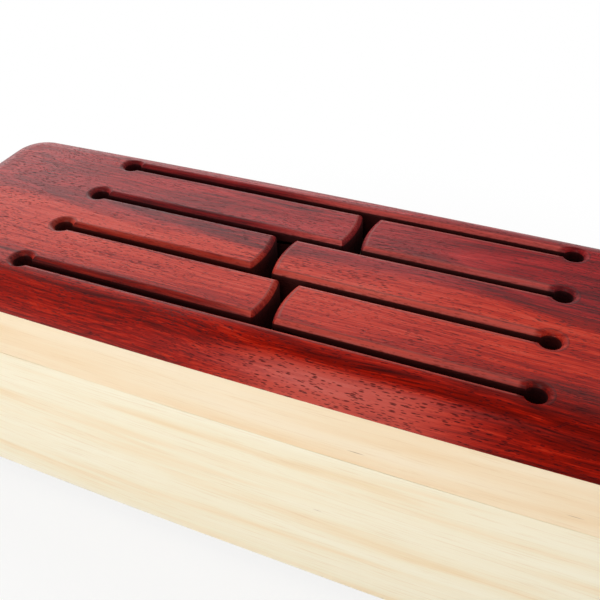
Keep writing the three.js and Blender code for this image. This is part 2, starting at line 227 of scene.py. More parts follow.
def padauk_zones(tree, spot, sawn):
    """Where the plank's looks change, each zone from 0 to 1, by its name."""
    facing = add_node(tree, "ShaderNodeNewGeometry").outputs["Normal"]
    lengthwise = add_node(tree, "ShaderNodeSeparateXYZ", {0: facing}).outputs["X"]
    turned_to_end = add_node(tree, "ShaderNodeMath", {0: lengthwise}, operation="ABSOLUTE")
    off_middle = add_node(tree, "ShaderNodeMath", {0: spot["X"]}, operation="ABSOLUTE")
    hole_middle = HOLE_SPAN / 2
    off_sheen_patch = add_node(
        tree, "ShaderNodeMath", {0: spot["X"], 1: SHEEN_PATCH_X}, operation="SUBTRACT"
    )
    away = add_node(tree, "ShaderNodeMath", {0: off_sheen_patch}, operation="ABSOLUTE")

    # Each zone with the value that it goes by, where it starts and where it is full
    zone = {"sawn": sawn}
    # The right end zone places a painted shade, where the lamps' light falls off
    for name, value, start, full in (
        ("left_end", spot["X"], -0.150, -0.215),
        ("right_part", spot["X"], -0.050, 0.020),
        ("right_end", spot["X"], 0.060, 0.260),
        ("far_right", spot["X"], 0.125, 0.155),
        ("sheen_span", away, 0.110, 0.020),
        ("off_holes", off_middle, hole_middle - 0.6 * HOLE_DIAMETER,
         hole_middle - 0.9 * HOLE_DIAMETER),
        ("front_side", spot["Y"], -0.052, -0.070),
        ("front_edge", spot["Y"], -0.0755, -0.0825),
        ("rear_side", spot["Y"], 0.015, 0.050),
        ("low_edge", spot["Z"], PLATE_HIGH - 0.001, PLATE_HIGH - 0.007),
        ("below_round", spot["Z"], PLATE_HIGH - 0.46 * SLOT_ROUND,
         PLATE_HIGH - 0.64 * SLOT_ROUND),
        ("faces_left", lengthwise, -0.02, -0.30),
        ("end_grain", turned_to_end, 0.10, 0.45),
    ):
        zone[name] = add_node(
            tree, "ShaderNodeMapRange", {"Value": value, "From Min": start, "From Max": full},
            interpolation_type="SMOOTHSTEP",
        )
    # The slots' long edges in the right part take a painted highlight, and the walls below the
    # rounded edges a painted shade
    for name, first, operation, second in (
        ("sheen_and_pores_patch", "sheen_span", "MULTIPLY", "front_edge"),
        ("low_front", "low_edge", "MULTIPLY", "front_edge"),
        ("red_edge", "low_front", "MULTIPLY", "far_right"),
        ("long_edge", "sawn", "SUBTRACT", "end_grain"),
        ("right_edge", "right_part", "MULTIPLY", "off_holes"),
        ("painted_highlight_edge", "right_edge", "MULTIPLY", "long_edge"),
        ("wall", "sawn", "MULTIPLY", "below_round"),
        ("cut_end", "sawn", "MULTIPLY", "end_grain"),
        ("front_right", "front_side", "MULTIPLY", "right_part"),
        ("rubbed", "front_right", "SUBTRACT", "sheen_and_pores_patch"),
        ("rear_part", "rear_side", "SUBTRACT", "left_end"),
    ):
        zone[name] = add_node(
            tree, "ShaderNodeMath", {0: zone[first], 1: zone[second]}, operation=operation,
            use_clamp=True,
        )
    return zone


def padauk():
    """Padauk, planed, sanded and oiled to a satin. An open-pored red hardwood.
    To the eye: orange-red wood that turns purple-brown toward the rear, fine streaks and short
    dark pores. Painted shade makes the walls of slots and holes nearly black, and a painted pink
    sheen lies on the front edge and the slots' edges."""
    material, tree = start_material("padauk_oiled")
    place = add_node(tree, "ShaderNodeTexCoord").outputs["Object"]
    spot = add_node(tree, "ShaderNodeSeparateXYZ", {0: place}).outputs
    sawn = add_node(tree, "ShaderNodeAttribute", attribute_name="sawn").outputs["Fac"]
    zone = padauk_zones(tree, spot, sawn)

    # The grain wanders a little, and ripples at the left end
    wander = grain_noise(tree, place, (190, 60, 60), seed=3.1)
    bend = add_node(
        tree, "ShaderNodeVectorMath",
        {0: wander.outputs["Color"], 1: (0.0, 0.022, 0.014), 2: (0.0, -0.011, -0.007)},
        operation="MULTIPLY_ADD",
    )
    bent = add_node(tree, "ShaderNodeVectorMath", {0: place, 1: bend})
    ripple = grain_noise(tree, place, (34, 17, 17), seed=8.3, detail=1.0)
    swing = add_node(
        tree, "ShaderNodeVectorMath",
        {0: ripple.outputs["Color"], 1: (0.0, 0.011, 0.006), 2: (0.0, -0.0055, -0.003)},
        operation="MULTIPLY_ADD",
    )
    rippled = add_node(
        tree, "ShaderNodeVectorMath", {0: swing, "Scale": zone["left_end"]}, operation="SCALE"
    )
    grain = add_node(tree, "ShaderNodeVectorMath", {0: bent, 1: rippled})
    across = add_node(tree, "ShaderNodeSeparateXYZ", {0: grain}).outputs["Y"]

    # How light the wood is, from the front edge to the rear edge. The lightest part lies right of
    # the middle, where a painted highlight of the front lamp lightens the front edge, and also the
    # slots' edges in the right part. The right end is painted darker, as shade where the lamps'
    # light falls off. Under the dark front strip the round edge is redder toward the right end.
    plank = add_node(
        tree, "ShaderNodeMapRange",
        {"Value": across, "From Min": -HALF_WIDTH, "From Max": HALF_WIDTH},
    )
    tone = add_node(
        tree, "ShaderNodeValToRGB", {"Fac": plank},
        stops=[
            (0.0, 0.37), (0.12, 0.40), (0.18, 0.46), (0.24, 0.62), (0.36, 0.70), (0.48, 0.72),
            (0.53, 0.50), (0.60, 0.50), (0.74, 0.54), (0.88, 0.54), (1.0, 0.60),
        ],
    )
    # Painted shade darkens the right end. A painted highlight lightens the patch on the front edge
    # and the slots' edges in the right part.
    for name, more in (
        ("right_end", -0.22), ("red_edge", 0.13), ("sheen_and_pores_patch", 0.30), ("painted_highlight_edge", 0.14),
    ):
        tone = add_node(
            tree, "ShaderNodeMath", {0: zone[name], 1: more, 2: tone}, operation="MULTIPLY_ADD"
        )

    # Growth rings round a pith that runs under the plank, a little out of line with it
    pith = add_node(
        tree, "ShaderNodeMapping",
        {"Vector": grain, "Location": (0.0, -0.030, -0.120), "Rotation": (0.0, 0.055, 0.012)},
    )
    flat = add_node(
        tree, "ShaderNodeVectorMath", {0: pith, 1: (0.0, 1.0, 1.0)}, operation="MULTIPLY"
    )
    radius = add_node(tree, "ShaderNodeVectorMath", {0: flat}, operation="LENGTH").outputs["Value"]
    ring = add_node(
        tree, "ShaderNodeTexNoise",
        {"W": radius, "Scale": 1 / GROWTH_RING, "Detail": 5.0, "Roughness": 0.7},
        noise_dimensions="1D",
    )
    band = grain_noise(tree, grain, (320, 9, 9), seed=1.3)
    streak = grain_noise(tree, grain, (90, 1.9, 1.9), seed=7.7, detail=3.0, rough=0.6)
    fibre = grain_noise(tree, grain, (26, 0.9, 0.9), seed=2.4, detail=3.0, rough=0.7)
    for noise, share in ((ring, 0.60), (band, 0.22), (streak, 0.90), (fibre, 0.95)):
        raised = add_node(
            tree, "ShaderNodeMath", {0: noise, 1: share, 2: tone}, operation="MULTIPLY_ADD"
        )
        tone = add_node(tree, "ShaderNodeMath", {0: raised, 1: -0.5 * share})

    front = add_node(
        tree, "ShaderNodeValToRGB", {"Fac": tone},
        stops=[
            (0.0, "#390302"), (0.3, "#700b03"), (0.5, "#981304"), (0.7, "#b82c16"),
            (1.0, "#c24634"),
        ],
    )
    rear = add_node(
        tree, "ShaderNodeValToRGB", {"Fac": tone},
        stops=[
            (0.0, "#300610"), (0.3, "#5c0a10"), (0.5, "#831014"), (0.7, "#a01f20"),
            (1.0, "#bd3c38"),
        ],
    )
    halves = add_node(
        tree, "ShaderNodeMapRange", {"Value": across, "From Min": -0.004, "From Max": 0.012},
        interpolation_type="SMOOTHSTEP",
    )
    wood = add_node(
        tree, "ShaderNodeMix", {FACTOR: halves, FIRST: front, SECOND: rear}, data_type="RGBA"
    ).outputs[MIXED]

    # A painted pink sheen that stands for the front lamp's reflection, on the patch of the front
    # edge and on the slots' edges in the right part
    sheen_patch_share = add_node(
        tree, "ShaderNodeMath", {0: zone["sheen_and_pores_patch"], 1: 2.2}, operation="POWER"
    )
    painted_sheen_places = add_node(
        tree, "ShaderNodeMath", {0: zone["painted_highlight_edge"], 1: sheen_patch_share}, operation="MAXIMUM"
    )
    painted_sheen = add_node(tree, "ShaderNodeMath", {0: painted_sheen_places, 1: 0.42}, operation="MULTIPLY")

    # Pores are 0.2 to 0.3 mm wide in the real wood. Here they are up to 0.9 mm, so that they show.
    # Each kind of pore has its length and width per cell, seed, widest share of a cell and place.
    holes = 0.0
    open_ends = add_node(
        tree, "ShaderNodeMath", {0: zone["left_end"], 1: 0.8, 2: zone["sheen_and_pores_patch"]},
        operation="MULTIPLY_ADD",
    )
    for length, width, seed, widest, favour in (
        (6.0, 1.35, 0.0, 0.33, open_ends), (10.0, 1.3, 4.7, 0.28, 0.30),
        (5.5, 0.95, 9.2, 0.27, 0.45),
    ):
        crowd = grain_noise(tree, grain, (60, 22, 22), seed=1.9 + seed, detail=1.0)
        crowded = add_node(
            tree, "ShaderNodeMath", {0: favour, 1: 0.30, 2: crowd}, operation="MULTIPLY_ADD"
        )
        reach = add_node(
            tree, "ShaderNodeMapRange",
            {"Value": crowded, "From Min": 0.38, "From Max": 0.62,
             "To Min": 0.06, "To Max": widest},
        )
        cells = add_node(
            tree, "ShaderNodeMapping",
            {"Vector": grain, "Scale": (1000 / length, 1000 / width, 1000 / width),
             "Location": (seed, seed, seed)},
        )
        pore = add_node(tree, "ShaderNodeTexVoronoi", {"Vector": cells, "Scale": 1.0})
        share = add_node(tree, "ShaderNodeMath", {0: pore, 1: reach}, operation="DIVIDE")
        inside = add_node(
            tree, "ShaderNodeMapRange", {"Value": share, "From Min": 1.0, "From Max": 0.6},
            interpolation_type="SMOOTHSTEP",
        )
        holes = add_node(tree, "ShaderNodeMath", {0: inside, 1: holes}, operation="MAXIMUM")
    open_pores = add_node(
        tree, "ShaderNodeMapRange", {"Value": sawn, "To Min": 0.8, "To Max": 0.35}
    )
    pored = add_node(tree, "ShaderNodeMath", {0: holes, 1: open_pores}, operation="MULTIPLY")

    # Painted shade in the slots and holes: near black on the sawn and drilled walls, less dark on
    # the rounded edges above them, with a dark line where each cut begins. It is darker at the left
    # holes, lighter where rims face left toward the rear left lamp, and missing from the rounded
    # edges where the slots' edges take the painted highlight.
    at_slots = add_node(
        tree, "ShaderNodeMapRange", {"Value": zone["painted_highlight_edge"], "To Min": 0.42, "To Max": 0.0}
    )
    at_holes = add_node(
        tree, "ShaderNodeMapRange", {"Value": zone["right_part"], "To Min": 0.62, "To Max": 0.26}
    )
    rim_shade = add_node(
        tree, "ShaderNodeMapRange",
        {"Value": zone["off_holes"], "To Min": at_holes, "To Max": at_slots},
    )
    rim_shade = add_node(
        tree, "ShaderNodeMapRange", {"Value": zone["faces_left"], "To Min": rim_shade, "To Max": 0.16}
    )
    shade_from_rim = add_node(
        tree, "ShaderNodeMapRange",
        {"Value": spot["Z"], "From Min": PLATE_HIGH - 0.060 * SLOT_ROUND,
         "From Max": PLATE_HIGH - 0.030 * SLOT_ROUND, "To Min": rim_shade, "To Max": 0.44},
    )
    wall_shade = add_node(
        tree, "ShaderNodeMapRange", {"Value": zone["wall"], "To Min": shade_from_rim, "To Max": 0.93}
    )
    painted_cut_shade = add_node(tree, "ShaderNodeMath", {0: wall_shade, 1: sawn}, operation="MULTIPLY")
    # Mixes in the painted sheen, the pores and the painted shade of the cuts
    for share, colour in ((painted_sheen, "#bb5d53"), (pored, "#330408"), (painted_cut_shade, "#180405")):
        wood = add_node(
            tree, "ShaderNodeMix", {FACTOR: share, FIRST: wood, SECOND: linear(colour)},
            data_type="RGBA",
        ).outputs[MIXED]

    # Satin, drier in pores and on cut walls. Hands have rubbed the finish dull on the front
    # edge's right part, and a little at the rear.
    satin = add_node(
        tree, "ShaderNodeMapRange",
        {"Value": streak, "From Min": 0.35, "From Max": 0.65, "To Min": 0.36, "To Max": 0.26},
    )
    for where, more in ((holes, 0.25), (zone["wall"], 0.4), (zone["cut_end"], 0.24)):
        satin = add_node(
            tree, "ShaderNodeMath", {0: where, 1: more, 2: satin}, operation="MULTIPLY_ADD"
        )
    shine = 0.11
    for name, more in (("rubbed", -0.08), ("rear_part", -0.025)):
        shine = add_node(
            tree, "ShaderNodeMath", {0: zone[name], 1: more, 2: shine}, operation="MULTIPLY_ADD"
        )
    sunk = add_node(
        tree, "ShaderNodeMath", {0: holes, 1: -1.0, 2: fibre}, operation="MULTIPLY_ADD"
    )
    bump = add_node(
        tree, "ShaderNodeBump", {"Height": sunk, "Strength": 0.4, "Distance": 0.12 * MM}
    )
    return add_surface(
        material,
        {"Base Color": wood, "Roughness": satin, "Specular IOR Level": shine, "Normal": bump},
    )


def birch():
    """Birch, planed and finished with clear satin oil. A dense pale wood with tiny pores.
    To the eye: cream, with faint straight streaks, tan lines and a rare brown fleck."""
    material, tree = start_material("birch_satin")
    place = add_node(tree, "ShaderNodeAttribute", attribute_name="board_place").outputs["Vector"]
    paleness = add_node(tree, "ShaderNodeAttribute", attribute_name="board_paleness").outputs["Fac"]
    wander = grain_noise(tree, place, (260, 50, 50), seed=2.2)
    shift = add_node(
        tree, "ShaderNodeVectorMath",
        {0: wander.outputs["Color"], 1: (0.0, 0.010, 0.010), 2: (0.0, -0.005, -0.005)},
        operation="MULTIPLY_ADD",
    )
    grain = add_node(tree, "ShaderNodeVectorMath", {0: place, 1: shift})
    broad = grain_noise(tree, grain, (230, 14, 14), seed=4.4, detail=4.0)
    tan = add_node(
        tree, "ShaderNodeValToRGB", {"Fac": broad},
        stops=[(0.30, "#edcb9c"), (0.43, "#f2d8b3"), (0.56, "#f4dfbe"), (0.72, "#f5e3c6")],
    )
    cream = add_node(
        tree, "ShaderNodeValToRGB", {"Fac": broad},
        stops=[(0.28, "#eed5aa"), (0.38, "#f3e0be"), (0.47, "#f4e8cb"), (0.66, "#f6edd4")],
    )
    wood = add_node(
        tree, "ShaderNodeMix", {FACTOR: paleness, FIRST: tan, SECOND: cream}, data_type="RGBA"
    ).outputs[MIXED]
    streak = grain_noise(tree, grain, (48, 1.2, 1.2), seed=8.1, detail=4.0, rough=0.7)
    lines = add_node(
        tree, "ShaderNodeMapRange",
        {"Value": streak, "From Min": 0.50, "From Max": 0.76, "To Max": 0.45},
        interpolation_type="SMOOTHSTEP",
    )

    # Rare brown flecks, each the scar of a cambium miner: thin dashes along the grain
    cells = add_node(
        tree, "ShaderNodeMapping", {"Vector": grain, "Scale": (1000 / 105, 1000 / 6, 1000 / 6)}
    )
    scar = add_node(tree, "ShaderNodeTexVoronoi", {"Vector": cells, "Scale": 1.0}).outputs
    chance = add_node(tree, "ShaderNodeSeparateColor", {0: scar["Color"]})
    longest = add_node(
        tree, "ShaderNodeMapRange", {"Value": paleness, "To Min": 0.12, "To Max": 0.04}
    )
    reach = add_node(
        tree, "ShaderNodeMapRange",
        {"Value": chance, "From Min": 0.35, "From Max": 1.0, "To Min": 0.0, "To Max": longest},
    )
    near = add_node(tree, "ShaderNodeMath", {0: reach, 1: scar["Distance"]}, operation="SUBTRACT")
    fleck = add_node(
        tree, "ShaderNodeMapRange", {"Value": near, "From Max": 0.035, "To Max": 0.75},
        interpolation_type="SMOOTHSTEP",
    )
    for share, colour in ((lines, "#e2be90"), (fleck, "#9a6a44")):
        wood = add_node(
            tree, "ShaderNodeMix", {FACTOR: share, FIRST: wood, SECOND: linear(colour)},
            data_type="RGBA",
        ).outputs[MIXED]
    return add_grained_surface(
        material, {"Base Color": wood, "Specular IOR Level": 0.3}, streak,
        sheen=(0.42, 0.54), strength=0.25, depth=0.1 * MM,
    )


def birch_plywood():
    """Birch plywood, sanded and clear sealed.
    To the eye: a wide wavy figure on its faces and thin bands of plies at every cut."""
    material, tree = start_material("birch_plywood")
    place = add_node(tree, "ShaderNodeTexCoord").outputs["Object"]
    figure = grain_noise(tree, place, (150, 22, 200), seed=2.7, detail=3.0, rough=0.6)
    veneer = add_node(
        tree, "ShaderNodeValToRGB", {"Fac": figure},
        stops=[(0.35, "#d8b988"), (0.50, "#e4cb9f"), (0.65, "#ecd8b2")],
    )
    height = add_node(tree, "ShaderNodeSeparateXYZ", {0: place}).outputs["Z"]
    low, high = (corner.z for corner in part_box("bottom_panel"))
    plies = add_node(
        tree, "ShaderNodeMapRange",
        {"Value": height, "From Min": low, "From Max": high, "To Max": PLY_COUNT / 2},
        clamp=False,
    )
    layer = add_node(tree, "ShaderNodeMath", {0: plies}, operation="FRACT")
    crossed = add_node(tree, "ShaderNodeMath", {0: layer, 1: 0.5}, operation="GREATER_THAN")
    wood = add_node(
        tree, "ShaderNodeMix", {FACTOR: crossed, FIRST: veneer, SECOND: linear("#b98f5f")},
        data_type="RGBA",
    ).outputs[MIXED]
    fibre = grain_noise(tree, place, (60, 0.9, 0.9), seed=1.2, detail=3.0)
    return add_grained_surface(
        material, {"Base Color": wood, "Specular IOR Level": 0.3}, fibre,
        sheen=(0.5, 0.66), strength=0.3, depth=0.1 * MM,
    )


def spruce():
    """Spruce, planed and left bare. A softwood.
    To the eye: pale yellow with even tan lines of late growth, and a dry surface."""
    material, tree = start_material("spruce_bare")
    place = add_node(tree, "ShaderNodeAttribute", attribute_name="board_place").outputs["Vector"]
    wander = grain_noise(tree, place, (120, 30, 30), seed=5.5, detail=1.0)
    bent = add_node(
        tree, "ShaderNodeVectorMath",
        {0: wander.outputs["Color"], 1: (0.0, 0.004, 0.004), 2: place},
        operation="MULTIPLY_ADD",
    )
    rings = add_node(
        tree, "ShaderNodeTexWave",
        {"Vector": bent, "Scale": WAVE_PER_METRE / SPRUCE_RING, "Distortion": 0.6, "Detail": 2.0},
        bands_direction="Y", wave_profile="SAW",
    )
    ground = add_node(
        tree, "ShaderNodeValToRGB", {"Fac": rings.outputs["Fac"]},
        stops=[(0.0, "#e8d2a0"), (0.6, "#e2c690"), (0.92, "#bf9460"), (1.0, "#d9bb86")],
    )
    fibre = grain_noise(tree, place, (40, 0.6, 0.6), seed=4.8, detail=3.0)
    dark_fibre = add_node(
        tree, "ShaderNodeMapRange",
        {"Value": fibre, "From Min": 0.5, "From Max": 0.8, "To Max": 0.4},
    )
    wood = add_node(
        tree, "ShaderNodeMix", {FACTOR: dark_fibre, FIRST: ground, SECOND: linear("#c39b66")},
        data_type="RGBA",
    ).outputs[MIXED]
    return add_grained_surface(
        material, {"Base Color": wood}, fibre, sheen=(0.7, 0.85), strength=0.4, depth=0.15 * MM
    )


def black_rubber():
    """Natural rubber, moulded in a matt mould.
    To the eye: near black with a fine dull grain and a little pale bloom."""
    material, tree = start_material("rubber_moulded")
    place = add_node(tree, "ShaderNodeTexCoord").outputs["Object"]
    bloom = grain_noise(tree, place, (7, 7, 7), seed=3.3, detail=4.0, rough=0.65)
    tone = add_node(
        tree, "ShaderNodeValToRGB", {"Fac": bloom},
        stops=[(0.35, "#171616"), (0.55, "#1f1e1e"), (0.75, "#343231")],
    )
    grit = grain_noise(tree, place, (0.5, 0.5, 0.5), seed=0.4)
    return add_grained_surface(
        material, {"Base Color": tone}, grit, sheen=(0.72, 0.9), strength=0.6, depth=0.1 * MM
    )


def zinc_steel():
    """Steel, pressed and turned, bright zinc plated.
    To the eye: blue-grey metal with cloudy gloss and hair-fine scratches."""
    material, tree = start_material("steel_zinc_plated")
    place = add_node(tree, "ShaderNodeTexCoord").outputs["Object"]
    cloud = grain_noise(tree, place, (2.4, 2.4, 2.4), seed=6.1, detail=3.0)
    tone = add_node(
        tree, "ShaderNodeValToRGB", {"Fac": cloud},
        stops=[(0.35, "#a9adb4"), (0.55, "#bcc0c4"), (0.70, "#c6c6be")],
    )
    scratch = grain_noise(tree, place, (3.0, 0.15, 0.15), seed=2.9)
    return add_grained_surface(
        material, {"Base Color": tone, "Metallic": 1.0}, scratch,
        sheen=(0.26, 0.42), strength=0.15, depth=0.05 * MM,
    )


# Shapes


def add_object(name, data):
    """Puts a mesh, a lamp or a camera into the scene."""
    made = bpy.data.objects.new(name, data)
    bpy.context.scene.collection.objects.link(made)
    return made


def object_from(name, vertices, faces):
    mesh = bpy.data.meshes.new(name)
    mesh.from_pydata(vertices, (), faces)
    return add_object(name, mesh)


def object_of(name, shape):
    """A finished bmesh as an object."""
    mesh = bpy.data.meshes.new(name)
    shape.to_mesh(mesh)
    shape.free()
    return add_object(name, mesh)


def apply_modifiers(made):
    """Turns what the object's modifiers make of it into its plain mesh."""
    bpy.context.view_layer.update()
    evaluated = made.evaluated_get(bpy.context.evaluated_depsgraph_get())
    mesh = bpy.data.meshes.new_from_object(evaluated)
    made.modifiers.clear()
    made.data = mesh


def loft(name, rings):
    """A closed solid over rings of points that have the same count and climb in Z."""
    count = len(rings[0])
    faces = [tuple(reversed(range(count)))]
    for level in range(len(rings) - 1):
        for i in range(count):
            low, low_next = level * count + i, level * count + (i + 1) % count
            faces.append((low, low_next, low_next + count, low + count))
    top = (len(rings) - 1) * count
    faces.append(tuple(range(top, top + count)))
    return object_from(name, [point for ring in rings for point in ring], faces)


def quarter_turn(steps):
    return [math.pi / 2 * i / steps for i in range(steps + 1)]


def circle(radius, z, steps):
    turns = [2 * math.pi * i / steps for i in range(steps)]
    return [(radius * math.cos(turn), radius * math.sin(turn), z) for turn in turns]


def plan_ring(inset, z):
    """The drum's outline seen from above: straight ends, round corners, and long sides that
    each lie on one large arc."""
    bow_radius = (HALF_LENGTH ** 2 + SIDE_BOW ** 2) / (2 * SIDE_BOW)
    bow_centre = bow_radius - HALF_WIDTH
    corner_x = HALF_LENGTH - CORNER_RADIUS
    bow_angle = math.asin(corner_x / (bow_radius - CORNER_RADIUS))
    corner_y = bow_centre - (bow_radius - CORNER_RADIUS) * math.cos(bow_angle)
    quarter = []
    for i in range(SIDE_STEPS):
        angle = bow_angle * i / SIDE_STEPS
        reach = bow_radius - inset
        quarter.append((reach * math.sin(angle), bow_centre - reach * math.cos(angle)))
    for i in range(CORNER_STEPS + 1):
        angle = bow_angle + (math.pi / 2 - bow_angle) * i / CORNER_STEPS
        reach = CORNER_RADIUS - inset
        quarter.append((corner_x + reach * math.sin(angle), corner_y - reach * math.cos(angle)))
    back = quarter[::-1]
    ring = quarter + [(x, -y) for x, y in back]
    ring += [(-x, -y) for x, y in quarter[1:]] + [(-x, y) for x, y in back[:-1]]
    return [(x, y, z) for x, y in ring]


def plate_blank():
    rings = [plan_ring(0.0, PLATE_LOW)]
    for angle in quarter_turn(EDGE_STEPS):
        rise = EDGE_ROUND * math.sin(angle)
        rings.append(plan_ring(EDGE_ROUND * (1 - math.cos(angle)), PLATE_LOW + EDGE_FLAT + rise))
    return loft("tongue_plate_blank", rings)


def edge_levels():
    """Height and widening of every cut in the plate: upright below, rounded over at the top."""
    levels = [(PLATE_LOW - CUT_EXTRA, 0.0)]
    for angle in quarter_turn(SLOT_ROUND_STEPS):
        height = PLATE_HIGH - SLOT_ROUND * (1 - math.sin(angle))
        levels.append((height, SLOT_ROUND * (1 - math.cos(angle))))
    levels.append((PLATE_HIGH + CUT_EXTRA, SLOT_ROUND))
    return levels


def slot_cutter():
    half = HOLE_SPAN / 2
    rings = []
    for z, widening in edge_levels():
        reach = SLOT_KERF / 2 + widening
        rings.append([(-half, -reach, z), (half, -reach, z), (half, reach, z), (-half, reach, z)])
    return loft("slot_cutter", rings)


def hole_cutter():
    return loft("hole_cutter", [
        circle(HOLE_DIAMETER / 2 + widening, z, HOLE_STEPS) for z, widening in edge_levels()
    ])


def gap_ring(gap, widening, z):
    """The gap between two tongue tips at one height, seen from above."""
    strip, middle, width = gap
    tip = TIP_RADIUS - widening
    centre = width / 2 + TIP_RADIUS
    corner = max(TIP_CORNER - widening, EASED_CORNER)
    corner_y = (SLOT_PITCH - SLOT_KERF) / 2 - widening - corner
    corner_x = centre - math.sqrt((tip - corner) ** 2 - corner_y ** 2)
    corner_angle = math.asin(corner_y / (tip - corner))
    upper = []
    for i in range(1, TIP_STEPS + 1):
        angle = corner_angle * i / TIP_STEPS
        upper.append((centre - tip * math.cos(angle), tip * math.sin(angle)))
    for i in range(1, TIP_CORNER_STEPS + 1):
        angle = corner_angle + (math.pi / 2 - corner_angle) * i / TIP_CORNER_STEPS
        upper.append((corner_x - corner * math.cos(angle), corner_y + corner * math.sin(angle)))
    upper.append((corner_x, SLOT_PITCH / 2))
    end = [(x, -y) for x, y in upper[::-1]] + [(centre - tip, 0.0)] + upper
    ring = end + [(-x, y) for x, y in end[::-1]]
    return [(middle + x, strip * SLOT_PITCH + y, z) for x, y in ring]


def joined(name, parts):
    """Parts as one object. The parts themselves are removed."""
    shape = bmesh.new()
    for made in parts:
        shape.from_mesh(made.data)
        bpy.data.objects.remove(made)
    return object_of(name, shape)


def gap_cutters():
    cutters = []
    for gap in GAPS:
        rings = [gap_ring(gap, widening, z) for z, widening in edge_levels()]
        cutters.append(loft("gap_cutter", rings))
    return joined("gap_cutters", cutters)


def hollow_cutters():
    """Shallow scoops across the underside of the tongues, which tune them."""
    cutters = []
    for end, depths in HOLLOW_DEPTHS.items():
        middle = end * (HOLE_SPAN / 2 - HOLLOW_FROM_ROOT)
        for strip, depth in zip((-1, 0, 1), depths):
            half_angle = math.acos((HOLLOW_RADIUS - depth) / HOLLOW_RADIUS)
            outline = []
            for i in range(HOLLOW_STEPS + 1):
                angle = -half_angle + 2 * half_angle * i / HOLLOW_STEPS
                x = middle + HOLLOW_RADIUS * math.sin(angle)
                outline.append((x, PLATE_LOW + depth - HOLLOW_RADIUS * (1 - math.cos(angle))))
            outline += [(outline[end_of_arc][0], PLATE_LOW - CUT_EXTRA) for end_of_arc in (-1, 0)]
            count = len(outline)
            vertices = []
            for side in (-1, 1):
                y = strip * SLOT_PITCH + side * HOLLOW_HALF_WIDTH
                vertices += [(x, y, z) for x, z in outline]
            faces = [tuple(range(count)), tuple(reversed(range(count, 2 * count)))]
            for i in range(count):
                following = (i + 1) % count
                faces.append((i, i + count, following + count, following))
            cutters.append(object_from("hollow_cutter", vertices, faces))
    return joined("hollow_cutters", cutters)


def new_tree(name, sockets):
    """A Geometry Nodes tree with named inputs, and the outputs of its Group Input node."""
    tree = bpy.data.node_groups.new(name, "GeometryNodeTree")
    for socket, kind in {"Geometry": "NodeSocketGeometry", **sockets}.items():
        tree.interface.new_socket(name=socket, in_out="INPUT", socket_type=kind)
    tree.interface.new_socket(name="Geometry", in_out="OUTPUT", socket_type="NodeSocketGeometry")
    return tree, add_node(tree, "NodeGroupInput").outputs


def close_tree(tree, geometry, material):
    """Makes one body of what the tree built, gives it the material and hands it out."""
    whole = add_node(tree, "GeometryNodeRealizeInstances", {0: geometry})
    finished = add_node(
        tree, "GeometryNodeSetMaterial", {"Geometry": whole, "Material": material}
    )
    add_node(tree, "NodeGroupOutput", {0: finished})
    return tree


def plain_result(made, tree, values):
    """Gives the object the tree with its values, and turns the result into a plain mesh."""
    modifier = made.modifiers.new(tree.name, "NODES")
    modifier.node_group = tree
    for item in tree.interface.items_tree:
        if item.in_out == "INPUT" and item.name in values:
            modifier[item.identifier] = values[item.name]
    apply_modifiers(made)


def slotting_tree():
    """Cuts the rows of slots, their end holes, the gaps and the hollows out of the blank."""
    tree, given = new_tree("slotted_tongue_plate", {
        "Slot cutter": "NodeSocketObject", "Hole cutter": "NodeSocketObject",
        "Gap cutters": "NodeSocketObject", "Hollow cutters": "NodeSocketObject",
        "Slot pitch": "NodeSocketFloat", "Hole span": "NodeSocketFloat", "Rows": "NodeSocketInt",
        "Wood": "NodeSocketMaterial",
    })
    spans = add_node(tree, "ShaderNodeMath", {0: given["Rows"], 1: 1.0}, operation="SUBTRACT")
    field = add_node(
        tree, "ShaderNodeMath", {0: spans, 1: given["Slot pitch"]}, operation="MULTIPLY"
    )
    start = add_node(tree, "ShaderNodeMath", {0: field, 1: -0.5}, operation="MULTIPLY")
    rows = add_node(
        tree, "GeometryNodeMeshLine",
        {"Count": given["Rows"],
         "Start Location": add_node(tree, "ShaderNodeCombineXYZ", {"Y": start}),
         "Offset": add_node(tree, "ShaderNodeCombineXYZ", {"Y": given["Slot pitch"]})},
    )
    ends = add_node(
        tree, "GeometryNodeMeshGrid",
        {"Size X": given["Hole span"], "Size Y": field,
         "Vertices X": 2, "Vertices Y": given["Rows"]},
    )
    cut = given["Geometry"]
    for points, cutter in (
        (rows, "Slot cutter"), (ends, "Hole cutter"), (None, "Gap cutters"),
        (None, "Hollow cutters"),
    ):
        shape = add_node(
            tree, "GeometryNodeObjectInfo", {"Object": given[cutter]}
        ).outputs["Geometry"]
        if cutter != "Hollow cutters":
            shape = add_node(
                tree, "GeometryNodeStoreNamedAttribute",
                {"Geometry": shape, "Name": "sawn", "Value": 1.0},
                data_type="FLOAT", domain="FACE",
            )
        if points:
            placed = add_node(
                tree, "GeometryNodeInstanceOnPoints", {"Points": points, "Instance": shape}
            )
            shape = add_node(tree, "GeometryNodeRealizeInstances", {0: placed})
        cut = add_node(
            tree, "GeometryNodeMeshBoolean", {"Mesh 1": cut, "Mesh 2": shape},
            operation="DIFFERENCE", solver="MANIFOLD",
        )
    return close_tree(tree, cut, given["Wood"])


def soften(made, bevel=0.0):
    """Smooth shading over all but sharp edges, which are eased where bevel is given."""
    if bevel:
        eased = made.modifiers.new("eased_edges", "BEVEL")
        eased.width = bevel
        eased.segments = 2
        eased.limit_method = "ANGLE"
        eased.angle_limit = math.radians(SHARP_DEGREES)
    made.data.polygons.foreach_set("use_smooth", [True] * len(made.data.polygons))
    apply_modifiers(made)
    made.data.set_sharp_from_angle(angle=math.radians(SHARP_DEGREES))
    weighted = made.modifiers.new("weighted_normals", "WEIGHTED_NORMAL")
    weighted.keep_sharp = True
    weighted.weight = 100
    apply_modifiers(made)


